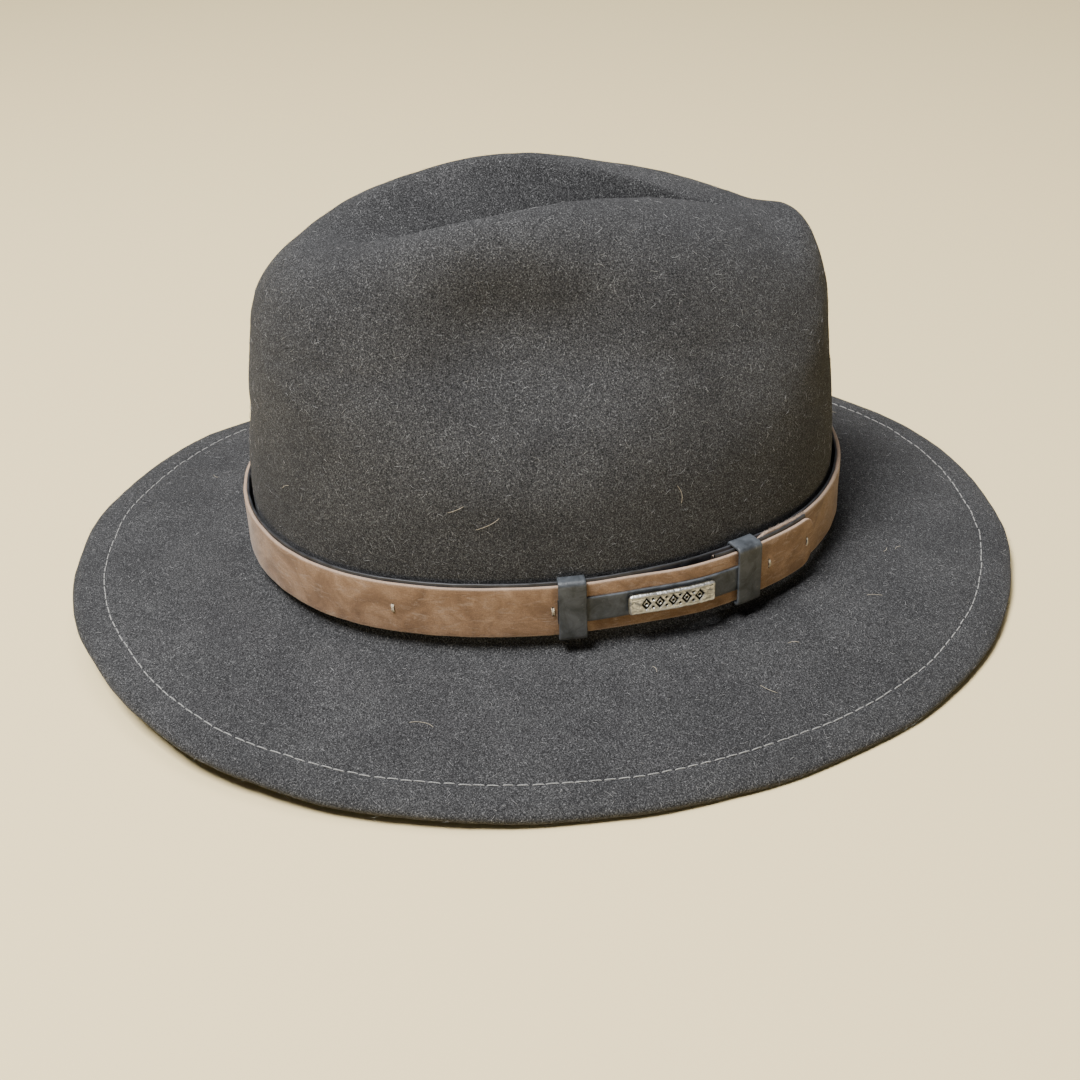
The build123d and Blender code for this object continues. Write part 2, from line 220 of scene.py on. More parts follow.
def shaped(x, y, z, turn, hold):
    """Lean the wall in, press in the side pinches and square the back corner."""
    rise = np.clip((z - BAND_BASE - LEAN_START) / LEAN_SPAN, 0, 1) ** 1.5
    lean = round_the_head(turn, WALL_LEAN) * rise * hold
    x = x - lean * np.sin(turn)
    y = y + lean * np.cos(turn)
    along = (y - PINCH_Y) / PINCH_HALF_LENGTH
    up = (z - BAND_BASE - PINCH_HEIGHT) / PINCH_HALF_HEIGHT
    x = x - PINCH_DEPTH * np.exp(-(along**2) - up**2) * np.tanh(x / PINCH_BLEND)
    high = np.clip((z - BAND_BASE - BACK_LIFT_START) / BACK_LIFT_SPAN, 0, 1)
    z = z + BACK_LIFT * np.exp(-(((y - BACK_LIFT_Y) / BACK_LIFT_REACH) ** 2)) * high
    return np.stack([x, y, z], -1)


def crown_rows(turn, inset, wall_steps, shoulder_steps, dent_steps):
    """Rows of points from the break up the wall, over the crest and down to the dent's floor."""
    base_x, base_y = oval(turn, -inset)
    crest_x, crest_y = crest(turn, inset)
    top = crest_height(crest_y, inset)
    drop = round_the_head(turn, SHOULDER_DROP) - 0.5 * inset
    power = 2 / round_the_head(turn, SHOULDER_POWER)
    shoulder = top - drop
    rows = []
    for step in range(wall_steps):
        z = BREAK_LEVEL + (shoulder - BREAK_LEVEL) * step / wall_steps
        rows.append(shaped(base_x, base_y, z, turn, 1.0))
    for step in range(shoulder_steps):
        angle = pi / 2 * step / shoulder_steps
        reach = cos(angle) ** power
        x = crest_x + (base_x - crest_x) * reach
        y = crest_y + (base_y - crest_y) * reach
        rows.append(shaped(x, y, shoulder + drop * sin(angle) ** power, turn, reach))
    floor_x = (DENT_FLOOR_HALF_WIDTH + DENT_WIDER_INSIDE * inset) * np.sin(turn)
    floor_y = DENT_FLOOR_Y - (DENT_FLOOR_HALF_LENGTH + DENT_LONGER_INSIDE * inset) * np.cos(turn)
    floor = BAND_BASE + DENT_FLOOR - inset - DENT_FLOOR_SLOPE * (floor_y - DENT_FLOOR_Y)
    for step in range(dent_steps + 1):
        share = 1 - step / dent_steps
        x = floor_x + (crest_x - floor_x) * share
        y = floor_y + (crest_y - floor_y) * share
        sink = (1 - share**2) ** 2
        z = crest_height(y, inset) * (1 - sink) + floor * sink
        rows.append(shaped(x, y, z, turn, 0.0))
    return rows


def ripple(points, wavelength, seed, waves=28):
    """Smooth random field of about unit size: a sum of seeded plane waves."""
    rng = np.random.default_rng(seed)
    directions = rng.normal(size=(waves, 3))
    directions /= np.linalg.norm(directions, axis=1, keepdims=True)
    lengths = wavelength * rng.uniform(0.6, 1.6, waves)
    phases = rng.uniform(0, 2 * pi, waves)
    total = np.zeros(points.shape[:-1])
    for direction, length, phase in zip(directions, lengths, phases):
        total += np.sin(points @ direction * (2 * pi / length) + phase)
    return total * sqrt(2 / waves)


# ---- mesh helpers


def make_object(name, vertices, faces, material, smooth=True):
    mesh = bpy.data.meshes.new(name)
    mesh.from_pydata((np.asarray(vertices, float).reshape(-1, 3) * MM).tolist(), [], faces)
    mesh.materials.append(material)
    mesh.polygons.foreach_set("use_smooth", [smooth] * len(mesh.polygons))
    mesh.update()
    piece = bpy.data.objects.new(name, mesh)
    bpy.context.scene.collection.objects.link(piece)
    return piece


def grid_faces(rows, columns, wrap_rows=False, wrap_columns=False, start=0):
    """Quads of a rows by columns grid of points, numbered row by row."""
    row = np.arange(rows if wrap_rows else rows - 1)
    column = np.arange(columns if wrap_columns else columns - 1)
    r, c = np.meshgrid(row, column, indexing="ij")
    r2, c2 = (r + 1) % rows, (c + 1) % columns
    quads = np.stack([r * columns + c, r * columns + c2, r2 * columns + c2, r2 * columns + c], -1)
    return (quads.reshape(-1, 4) + start).tolist()


def add_attribute(piece, name, values):
    """Store a vector per vertex for the materials to read."""
    layer = piece.data.attributes.new(name, "FLOAT_VECTOR", "POINT")
    layer.data.foreach_set("vector", np.asarray(values, np.float32).ravel())


def tube_mesh(paths, radius, sides=8):
    """Vertices and faces of closed-ended tubes along lists of points."""
    vertices, faces = [], []
    ring = np.arange(sides) * 2 * pi / sides
    for path in paths:
        path = np.asarray(path, float)
        along = np.gradient(path, axis=0)
        along /= np.linalg.norm(along, axis=1, keepdims=True)
        helper = np.array([0.0, 0.0, 1.0]) if abs(along[0][2]) < 0.9 else np.array([1.0, 0.0, 0.0])
        across = np.cross(along, helper)
        across /= np.linalg.norm(across, axis=1, keepdims=True)
        upward = np.cross(across, along)
        count = len(path)
        taper = np.ones(count)
        taper[0] = taper[-1] = 0.45
        start = sum(len(block) for block in vertices)
        block = (
            path[:, None]
            + radius * taper[:, None, None] * np.cos(ring)[None, :, None] * across[:, None]
            + radius * taper[:, None, None] * np.sin(ring)[None, :, None] * upward[:, None]
        )
        vertices.append(block.reshape(-1, 3))
        faces += grid_faces(count, sides, wrap_columns=True, start=start)
        faces.append([start + index for index in range(sides)][::-1])
        faces.append([start + (count - 1) * sides + index for index in range(sides)])
    return np.concatenate(vertices), faces


def rounded_section(low_u, high_u, low_v, high_v, radius, corner=4, middle=1):
    """Closed outline of a rectangle with rounded corners, as rows of u, v."""
    corners = (
        (high_u - radius, low_v + radius, -90),
        (high_u - radius, high_v - radius, 0),
        (low_u + radius, high_v - radius, 90),
        (low_u + radius, low_v + radius, 180),
    )
    outline = []
    for index, (u, v, start) in enumerate(corners):
        for step in range(corner + 1):
            angle = radians(start + 90 * step / corner)
            outline.append((u + radius * cos(angle), v + radius * sin(angle)))
        next_u, next_v, next_start = corners[(index + 1) % 4]
        angle = radians(next_start)
        goal = (next_u + radius * cos(angle), next_v + radius * sin(angle))
        last = outline[-1]
        for step in range(1, middle):
            share = step / middle
            outline.append((last[0] + (goal[0] - last[0]) * share, last[1] + (goal[1] - last[1]) * share))
    return np.array(outline)


def strap_piece(name, turns, inner, outer, low, high, material, radius, rough, seed, closed=False):
    """A leather strap standing on edge round the oval, with rounded edges and closed ends.

    turns are in degrees; inner, outer, low and high are numbers, or functions of the turn. The "strap"
    attribute holds the way along it, the height and the depth.
    """
    inner, outer, low, high = (
        limit if callable(limit) else (lambda turn, limit=limit: limit) for limit in (inner, outer, low, high)
    )
    sections, places = [], []
    travelled = 0.0
    previous = None
    for turn in turns:
        depth = outer(turn) - inner(turn)
        tall = high(turn) - low(turn)
        curve = min(radius, 0.45 * depth, 0.45 * tall)
        shape = rounded_section(0, depth, 0, tall, curve, corner=3, middle=10)
        section = on_oval(radians(turn), inner(turn) + shape[:, 0], low(turn) + shape[:, 1])
        middle = section.mean(0)
        if previous is not None:
            travelled += np.linalg.norm(middle - previous)
        previous = middle
        sections.append(section)
        height = low(turn) + shape[:, 1] - BAND_BASE
        places.append(np.stack([np.full(len(shape), travelled), height, shape[:, 0]], -1))
    points = np.array(sections)
    outward = np.stack([np.sin(np.radians(turns)), -np.cos(np.radians(turns)), 0 * turns], -1)
    points = points + outward[:, None] * (np.clip(ripple(points, 9.0, seed), -2, 2) * rough)[..., None]
    points[..., 2] += np.clip(ripple(points, 22.0, seed + 1), -2, 2) * rough
    columns = points.shape[1]
    faces = grid_faces(len(turns), columns, wrap_rows=closed, wrap_columns=True)
    if not closed:
        faces.append(list(range(columns)))
        faces.append([(len(turns) - 1) * columns + index for index in range(columns)][::-1])
    piece = make_object(name, points, faces, material)
    add_attribute(piece, "strap", np.array(places) * MM)
    return piece


# ---- materials


class Nodes:
    """Short hand for building one material's node tree."""

    def __init__(self, name):
        self.material = bpy.data.materials.new(name)
        self.material.use_nodes = True
        self.tree = self.material.node_tree
        self.shader = self.tree.nodes["Principled BSDF"]

    def feed(self, value, socket):
        """Link an output to a socket, or set the socket to a constant."""
        if hasattr(value, "is_output"):
            self.tree.links.new(value, socket)
        elif socket.type == "RGBA":
            socket.default_value = (*value, 1.0)
        else:
            socket.default_value = value

    def add(self, kind, **inputs):
        node = self.tree.nodes.new(kind)
        for key, value in inputs.items():
            self.feed(value, node.inputs[key.title()])
        return node

    def position(self):
        return self.add("ShaderNodeTexCoord").outputs["Object"]

    def attribute(self, name):
        node = self.add("ShaderNodeAttribute")
        node.attribute_name = name
        return node.outputs["Vector"]

    def stretched(self, vector, scale):
        return self.add("ShaderNodeMapping", vector=vector, scale=scale).outputs["Vector"]

    def noise(self, vector, scale, detail=3.0, roughness=0.55, distortion=0.0):
        node = self.add("ShaderNodeTexNoise", vector=vector, scale=scale, detail=detail,
                        roughness=roughness, distortion=distortion)
        return node.outputs["Fac"]

    def ramp(self, factor, *stops):
        """Colour ramp; each stop is a place and a colour, or a plain number for a grey."""
        node = self.add("ShaderNodeValToRGB", fac=factor)
        elements = node.color_ramp.elements
        while len(elements) < len(stops):
            elements.new(0.5)
        for element, (place, colour) in zip(elements, stops):
            element.position = place
            element.color = (*(colour if isinstance(colour, tuple) else (colour,) * 3), 1.0)
        return node.outputs["Color"]

    def mix(self, factor, first, second, mode="MIX"):
        node = self.add("ShaderNodeMix")
        node.data_type = "RGBA"
        node.blend_type = mode
        sockets = {"Factor": factor, "A": first, "B": second}
        for socket in node.inputs:
            usable = socket.type == "RGBA" or (socket.name == "Factor" and socket.type == "VALUE")
            if socket.name in sockets and usable:
                self.feed(sockets[socket.name], socket)
        return [output for output in node.outputs if output.type == "RGBA"][0]

    def maths(self, operation, *values, clamp=False):
        node = self.add("ShaderNodeMath")
        node.operation = operation
        node.use_clamp = clamp
        for value, socket in zip(values, node.inputs):
            self.feed(value, socket)
        return node.outputs["Value"]

    def separate(self, vector):
        node = self.add("ShaderNodeSeparateXYZ", vector=vector)
        return node.outputs["X"], node.outputs["Y"], node.outputs["Z"]

    def bump(self, height, distance, strength=1.0, under=None):
        node = self.add("ShaderNodeBump", height=height, strength=strength, distance=distance)
        if under is not None:
            self.feed(under, node.inputs["Normal"])
        return node.outputs["Normal"]

    def finish(self, colour, roughness, normal=None, **constants):
        inputs = self.shader.inputs
        self.feed(colour, inputs["Base Color"])
        self.feed(roughness, inputs["Roughness"])
        if normal is not None:
            self.feed(normal, inputs["Normal"])
        for name, value in constants.items():
            self.feed(value, inputs[name.replace("_", " ")])
        return self.material


def felt_material():
    """Charcoal wool felt: matted fibres with light and dark flecks and a soft sheen."""
    nodes = Nodes("charcoal_felt")
    place = nodes.position()
    matted = nodes.noise(place, 2500.0, detail=3.0, roughness=0.6, distortion=0.8)
    curls = nodes.noise(place, 900.0, detail=3.0, roughness=0.6, distortion=1.8)
    cloud = nodes.noise(place, 38.0, detail=3.0, roughness=0.55)
    grain = nodes.ramp(matted, (0.30, (0.006, 0.006, 0.0065)), (0.48, (0.030, 0.030, 0.031)),
                       (0.62, (0.085, 0.085, 0.086)), (0.76, 0.26))
    tone = nodes.ramp(curls, (0.36, (0.62, 0.62, 0.63)), (0.64, 1.25))
    colour = nodes.mix(1.0, grain, tone, "MULTIPLY")
    patches = nodes.ramp(cloud, (0.35, (0.86, 0.86, 0.87)), (0.65, 1.12))
    colour = nodes.mix(1.0, colour, patches, "MULTIPLY")
    normal = nodes.bump(matted, 0.0004, 0.7, under=nodes.bump(curls, 0.0006, 0.55))
    return nodes.finish(colour, 0.96, normal, Sheen_Weight=0.04, Sheen_Roughness=0.5,
                        Specular_IOR_Level=0.15, Sheen_Tint=(0.75, 0.76, 0.80))


def nubuck_material():
    """Distressed brown nubuck: smoky patches, scuffs, fine scratches and pale worn edges."""
    nodes = Nodes("brown_nubuck")
    place = nodes.attribute("strap")
    _, height, _ = nodes.separate(place)
    patches = nodes.noise(place, 60.0, detail=4.0, roughness=0.6, distortion=1.5)
    along = nodes.stretched(place, (1.0, 2.4, 1.0))
    scuffs = nodes.noise(along, 160.0, detail=5.0, roughness=0.7, distortion=1.2)
    grain = nodes.noise(place, 2300.0, detail=3.0, roughness=0.6)
    colour = nodes.ramp(patches, (0.30, (0.140, 0.081, 0.046)), (0.52, (0.225, 0.136, 0.080)),
                        (0.72, (0.340, 0.222, 0.142)))
    worn = nodes.ramp(scuffs, (0.52, 0.0), (0.74, 0.8))
    colour = nodes.mix(worn, colour, (0.34, 0.25, 0.19))
    streaks = nodes.stretched(place, (0.35, 5.0, 1.0))
    scratch = nodes.noise(streaks, 420.0, detail=2.0, roughness=0.5, distortion=0.4)
    line = nodes.ramp(scratch, (0.70, 0.0), (0.76, 0.55))
    colour = nodes.mix(line, colour, (0.42, 0.33, 0.26))
    middle = BAND_HEIGHT / 2 * MM
    from_middle = nodes.maths("ABSOLUTE", nodes.maths("SUBTRACT", height, middle))
    into_edge = nodes.maths("SUBTRACT", from_middle, middle - WORN_EDGE * MM)
    edge = nodes.maths("DIVIDE", into_edge, WORN_EDGE * MM, clamp=True)
    colour = nodes.mix(nodes.maths("MULTIPLY", edge, 0.65), colour, (0.36, 0.27, 0.21))
    fine = nodes.ramp(grain, (0.35, 0.84), (0.65, 1.14))
    colour = nodes.mix(1.0, colour, fine, "MULTIPLY")
    normal = nodes.bump(scuffs, 0.0003, 0.5, under=nodes.bump(grain, 0.00012, 0.6))
    rough = nodes.maths("MULTIPLY_ADD", patches, 0.25, 0.58)
    return nodes.finish(colour, rough, normal, Sheen_Weight=0.15, Sheen_Roughness=0.4,
                        Specular_IOR_Level=0.3)


def black_leather_material(name, dark, light, rubbed_shade):
    """Smooth dark leather with a pebbled grain, faint wear and rubbed flecks."""
    nodes = Nodes(name)
    place = nodes.position()
    pores = nodes.add("ShaderNodeTexVoronoi", vector=place, scale=1700.0).outputs["Distance"]
    wear = nodes.noise(place, 190.0, detail=4.0, roughness=0.65, distortion=0.7)
    colour = nodes.ramp(wear, (0.36, dark), (0.68, light))
    fleck = nodes.noise(place, 900.0, detail=2.0)
    rubbed = nodes.ramp(fleck, (0.66, 0.0), (0.80, 0.5))
    colour = nodes.mix(rubbed, colour, rubbed_shade)
    normal = nodes.bump(pores, 0.00012, 0.35, under=nodes.bump(wear, 0.0002, 0.3))
    rough = nodes.maths("MULTIPLY_ADD", wear, 0.22, 0.36)
    return nodes.finish(colour, rough, normal, Specular_IOR_Level=0.45)


def pewter_material():
    """Antiqued cast metal: bright rubbed relief over a dark patina in the hollows, with painted shade along
    the outer edge.
    """
    nodes = Nodes("antique_pewter")
    place = nodes.position()
    relief, _, _ = nodes.separate(nodes.attribute("relief"))
    pits = nodes.noise(place, 1300.0, detail=4.0, roughness=0.7)
    cloud = nodes.noise(place, 260.0, detail=3.0, roughness=0.6)
    raised = nodes.ramp(relief, (0.12, 0.0), (0.62, 1.0))
    bright = nodes.ramp(cloud, (0.30, (0.46, 0.46, 0.44)), (0.70, (0.74, 0.74, 0.72)))
    colour = nodes.mix(raised, (0.018, 0.018, 0.017), bright)
    rough = nodes.ramp(pits, (0.30, 0.30), (0.70, 0.58))
    return nodes.finish(colour, rough, nodes.bump(pits, 0.00014, 0.6), Metallic=1.0)


def thread_material(name, dark, light):
    """Twisted thread: fine bands of light and shade along the fibre."""
    nodes = Nodes(name)
    twist = nodes.noise(nodes.position(), 2600.0, detail=3.0, roughness=0.7, distortion=1.0)
    colour = nodes.ramp(twist, (0.34, dark), (0.66, light))
    return nodes.finish(colour, 0.9, nodes.bump(twist, 0.0001, 0.5), Sheen_Weight=0.2)


def sweat_leather_material():
    """Dark brown sheepskin headband with a fine pore and a soft polish."""
    nodes = Nodes("sweatband_leather")
    place = nodes.position()
    pores = nodes.add("ShaderNodeTexVoronoi", vector=place, scale=1100.0).outputs["Distance"]
    cloud = nodes.noise(place, 45.0, detail=4.0, roughness=0.6)
    colour = nodes.ramp(cloud, (0.32, (0.050, 0.028, 0.016)), (0.68, (0.105, 0.062, 0.036)))
    normal = nodes.bump(pores, 0.00015, 0.4, under=nodes.bump(cloud, 0.0006, 0.3))
    return nodes.finish(colour, 0.48, normal, Specular_IOR_Level=0.4)


def woven_material(name, dark, light, threads):
    """Fine woven ribbon or cloth: crossed threads with uneven dye."""
    nodes = Nodes(name)
    x, y, z = nodes.separate(nodes.position())
    across = nodes.maths("SINE", nodes.maths("MULTIPLY", nodes.maths("ADD", x, y), threads))
    upright = nodes.maths("SINE", nodes.maths("MULTIPLY", z, threads))
    weave = nodes.maths("MULTIPLY_ADD", nodes.maths("MULTIPLY", across, upright), 0.5, 0.5)
    colour = nodes.ramp(weave, (0.1, dark), (0.9, light))
    dye = nodes.noise(nodes.position(), 300.0)
    colour = nodes.mix(0.25, colour, nodes.ramp(dye, (0.3, dark), (0.7, light)))
    return nodes.finish(colour, 0.75, nodes.bump(weave, 0.0001, 0.5), Sheen_Weight=0.25)


def plastic_material():
    """Slightly yellowed smooth plastic of the reed."""
    nodes = Nodes("reed_plastic")
    cloud = nodes.noise(nodes.position(), 120.0, detail=2.0)
    colour = nodes.ramp(cloud, (0.3, (0.50, 0.46, 0.36)), (0.7, (0.62, 0.58, 0.48)))
    return nodes.finish(colour, 0.4, nodes.bump(cloud, 0.0001, 0.2))


def fibre_material():
    """Loose wool fibres, each one grey, from dark to light."""
    nodes = Nodes("felt_fibre")
    tone, _, _ = nodes.separate(nodes.attribute("tone"))
    colour = nodes.ramp(tone, (0.2, (0.05, 0.05, 0.055)), (0.9, 0.42))
    return nodes.finish(colour, 0.8, Specular_IOR_Level=0.2)


def floor_material():
    """Plain pale paper backdrop."""
    nodes = Nodes("backdrop_paper")
    tooth = nodes.bump(nodes.noise(nodes.position(), 700.0, detail=2.0), 0.0001, 0.1)
    return nodes.finish((0.78, 0.64, 0.36), 0.95, tooth, Specular_IOR_Level=0.1)


# ---- felt

FELT_COLUMNS = 640
COLUMN_OFFSET = 30.0
OVAL_STEPS = 7201
BREAK_STEPS = 10
WARP_LENGTH = 48.0
DIMPLE_LENGTH = 11.0
WARP_CROWN = 0.55
WARP_BRIM = 0.4
WELT_STEP = 0.5
STITCH_OFFSET = BRIM_WIDTH - STITCH_INSET
BRIM_RUN = BRIM_WIDTH - EDGE_RADIUS - BREAK_RADIUS
STITCH_SHARE = (STITCH_OFFSET - BREAK_RADIUS) / BRIM_RUN
GROOVE_DEPTH = 0.35
GROOVE_REACH = 1.1
LIP_REACH = 4.2


def oval_lengths(offset):
    """Fine normal directions round the oval at an offset, and the way travelled to each."""
    fine = np.linspace(0, 2 * pi, OVAL_STEPS)
    x, y = oval(fine, offset)
    return fine, np.concatenate([[0], np.cumsum(np.hypot(np.diff(x), np.diff(y)))])


def even_turns(offset, count):
    """Normal directions of points spread evenly along the oval at an offset, in radians."""
    fine, travelled = oval_lengths(offset)
    return np.interp(np.arange(count) / count * travelled[-1], travelled, fine)


def ease(value, start, end):
    share = np.clip((np.asarray(value, float) - start) / (end - start), 0, 1)
    return share * share * (3 - 2 * share)


def warped(points, amount):
    """Small hand-made unevenness: a smooth drift with shallow dimples, the same through the felt."""
    drift = np.stack([ripple(points, WARP_LENGTH, seed) for seed in (11, 12, 13)], -1)
    dimples = np.stack([ripple(points, DIMPLE_LENGTH, seed) for seed in (21, 22, 23)], -1)
    return points + np.asarray(amount)[..., None] * (0.6 * drift + 0.12 * dimples)


def warp_at_height(z):
    return WARP_CROWN * ease(z, BAND_BASE + 32, BAND_BASE + 55)


def warp_at_offset(offset):
    return WARP_BRIM * ease(offset, 12, 34)


def groove(offset):
    """How far the stitching pulls the felt in."""
    return GROOVE_DEPTH * np.exp(-(((offset - STITCH_OFFSET) / GROOVE_REACH) ** 2))


def brim_rows(turn):
    """Rows of points from the inner break, under the brim, round its edge and back to the outer break."""
    rows = []

    def add(offset, z):
        rows.append(warped(on_oval(turn, offset, z), np.full(len(turn), float(warp_at_offset(offset)))))

    def add_below_top(offset, depth):
        add(offset, brim_top(turn, (offset - BREAK_RADIUS) / BRIM_RUN) - depth)

    for step in range(1, BREAK_STEPS):
        reach = BREAK_RADIUS + FELT
        angle = pi / 2 * step / BREAK_STEPS
        add(BREAK_RADIUS - reach * cos(angle), BREAK_LEVEL - reach * sin(angle))
    welt_start = BRIM_WIDTH - EDGE_RADIUS - WELT_WIDTH
    for offset in np.linspace(BREAK_RADIUS, welt_start - 0.9, 26):
        add_below_top(offset, FELT)
    for angle in np.radians((0, 30, 60, 90)):
        offset = welt_start + WELT_STEP - WELT_STEP * cos(angle)
        add_below_top(offset, FELT + (2 * EDGE_RADIUS - FELT) * sin(angle))
    for offset in np.linspace(welt_start + 2 * WELT_STEP, BRIM_WIDTH - EDGE_RADIUS - 0.5, 16):
        add_below_top(offset, 2 * EDGE_RADIUS - groove(offset))
    for angle in np.radians(np.linspace(-90, 90, 19)):
        reach = EDGE_RADIUS if angle < 0 else LIP_REACH
        offset = BRIM_WIDTH - reach + reach * cos(angle)
        share = (min(offset, BRIM_WIDTH - EDGE_RADIUS) - BREAK_RADIUS) / BRIM_RUN
        dip = rim_height(turn) + EDGE_RADIUS - brim_top(turn, share)
        add(offset, rim_height(turn) + EDGE_RADIUS * sin(angle) - dip * sin(max(angle, 0)))
    near_stitches = np.linspace(STITCH_OFFSET + 3.5, STITCH_OFFSET - 3.5, 15)
    outside = np.linspace(BRIM_WIDTH - LIP_REACH - 0.6, STITCH_OFFSET + 4.2, 4)
    inside = np.linspace(STITCH_OFFSET - 4.5, BREAK_RADIUS, 32)
    for offset in np.concatenate([outside, near_stitches, inside]):
        add_below_top(offset, groove(offset))
    for step in range(BREAK_STEPS - 1, 0, -1):
        angle = pi / 2 * step / BREAK_STEPS
        add(BREAK_RADIUS * (1 - cos(angle)), BREAK_LEVEL - BREAK_RADIUS * sin(angle))
    return rows


def closed_floor(rows):
    """Rows that narrow the last ring of a crown towards its middle line."""
    last = rows[-1]
    return [last * (share, 1.0, 1.0) for share in (0.7, 0.4, 0.12)]


def make_felt(material):
    """The whole felt in one shell, from the dent inside, round the brim, to the dent outside."""
    turn = even_turns(COLUMN_OFFSET, FELT_COLUMNS)
    inner = crown_rows(turn, FELT, 14, 18, 14)
    outer = crown_rows(turn, 0.0, 40, 38, 30)
    inner += closed_floor(inner)
    outer += closed_floor(outer)
    inner = [warped(row, warp_at_height(row[:, 2])) for row in inner]
    outer = [warped(row, warp_at_height(row[:, 2])) for row in outer]
    rows = inner[::-1] + brim_rows(turn) + outer
    points = np.array(rows)
    # The lowest part of the brim rests on the floor
    points[:, :, 2] = np.maximum(points[:, :, 2], 0.0)
    faces = grid_faces(len(rows), FELT_COLUMNS, wrap_columns=True)
    half = FELT_COLUMNS // 2
    last = (len(rows) - 1) * FELT_COLUMNS
    for index in range(half):
        mirrored, mirrored_next = (-index) % FELT_COLUMNS, (-index - 1) % FELT_COLUMNS
        inside = [index, index + 1, mirrored_next, mirrored]
        for start, quad in ((0, inside), (last, inside[::-1])):
            faces.append(list(dict.fromkeys(start + corner for corner in quad)))
    return make_object("felt_shell", points, faces, material)


# ---- thread

STITCH_PITCH = 4.3
STITCH_LENGTH = 4.15
STITCH_RISE = 0.16
STITCH_SINK = 0.30
STITCH_RADIUS = 0.20


def stitch_paths(offset, height, pitch, length, rise, sink, seed, facing_out=None, tilt=0.0):
    """Separate stitches along the oval, each bulging by rise in the middle and diving by sink at its ends.

    height gives z at a turn in radians. facing_out bulges the stitches in or out instead of up or down.
    """
    rng = np.random.default_rng(seed)
    fine, travelled = oval_lengths(offset)
    count = round(travelled[-1] / pitch)
    share = np.linspace(0, 1, 7)
    bulge = rise * np.sin(share * pi) ** 0.6 - sink * (np.abs(2 * share - 1) ** 6)
    paths = []
    for index in range(count):
        start = (index + 0.5) * travelled[-1] / count + rng.normal(0, 0.04) * pitch
        size = length * (1 + rng.normal(0, 0.05))
        place = np.interp(start + (share - 0.5) * size, travelled, fine)
        side = rng.normal(0, 0.10) + tilt * (share - 0.5)
        if facing_out is None:
            paths.append(on_oval(place, offset + side, height(place) + bulge))
        else:
            paths.append(on_oval(place, offset + facing_out * bulge, height(place) + side))
    return paths


def make_threads(name, paths, radius, material, sides=7):
    vertices, faces = tube_mesh(paths, radius, sides)
    return make_object(name, vertices, faces, material)


def brim_stitches(name, under, material):
    """The line of stitches through the brim, seen from above or from below."""
    sign = -1.0 if under else 1.0
    depth = 2 * EDGE_RADIUS if under else 0.0

    def height(turn):
        return brim_top(turn, STITCH_SHARE) - depth - sign * GROOVE_DEPTH

    paths = stitch_paths(
        STITCH_OFFSET, height, STITCH_PITCH, STITCH_LENGTH, sign * STITCH_RISE, sign * STITCH_SINK,
        31 + int(under),
    )
    amount = float(warp_at_offset(STITCH_OFFSET))
    paths = [warped(path, np.full(len(path), amount)) for path in paths]
    return make_threads(name, paths, STITCH_RADIUS, material)


# ---- hat band


def lap_rise(turn):
    """How far the strap has climbed on to its own lap, 0 before and 1 over it."""
    return float(ease(turn - 360, LAP_RISE_START, LAP_RISE_END))


def strap_inner(turn):
    return BAND_GAP + BACKING + (BAND_LEATHER + LAP_GAP) * lap_rise(turn)


def strap_outer(turn):
    return strap_inner(turn) + BAND_LEATHER


def tip_cut(turn):
    """How much the strap's rounded tip takes off its edges."""
    left = radians(360 + STRAP_TIP - turn) * END_RADIUS
    if left >= TIP_ROUND:
        return 0.0
    return TIP_ROUND - sqrt(max(TIP_ROUND**2 - (TIP_ROUND - left) ** 2, 0.0))


def make_backing(material):
    """Black backing all the way round, standing a little above the brown strap."""
    outer = BAND_GAP + BACKING
    return strap_piece(
        "band_backing_strip", np.degrees(even_turns(outer, 560)), BAND_GAP, outer, BAND_BASE + BACKING_RAISE,
        BACKING_TOP, material, radius=0.3, rough=0.05, seed=41, closed=True,
    )


def lap_lift(turn):
    """The strap's hidden start stands a little proud of the free end that covers it."""
    share = ease(turn, *LAP_LIFT_START) * (1 - 0.55 * ease(turn, *LAP_LIFT_FALL))
    return LAP_LIFT * float(share) * (turn < 200)


def make_band(material):
    """The brown strap, with its rounded tip lying over its own start."""
    end = 360 + STRAP_TIP
    tip = end - np.degrees(TIP_ROUND * (1 - np.cos(np.linspace(0, pi / 2, 16))) / END_RADIUS)[::-1]
    turns = np.concatenate([np.arange(LAP_UNDER_END, tip[0] - 0.3, 0.55), tip])
    return strap_piece(
        "band_strap", turns, strap_inner, strap_outer,
        lambda turn: BAND_BASE + tip_cut(turn),
        lambda turn: BAND_BASE + BAND_HEIGHT - tip_cut(turn) + lap_lift(turn),
        material, radius=0.42, rough=0.05, seed=43,
    )


def make_lap_backing(material):
    """Black backing of the strap's free end, seen as a dark line above the leather."""
    inner = BAND_GAP + BACKING + BAND_LEATHER + (LAP_GAP - BACKING) / 2
    turns = np.linspace(LAP_UNDER_END, STRAP_TIP - LAP_BACKING_SHORT, 120)
    return strap_piece(
        "lap_backing_strip", turns, inner, inner + BACKING, BAND_BASE + BACKING_RAISE, BACKING_TOP, material,
        radius=0.3, rough=0.03, seed=45,
    )


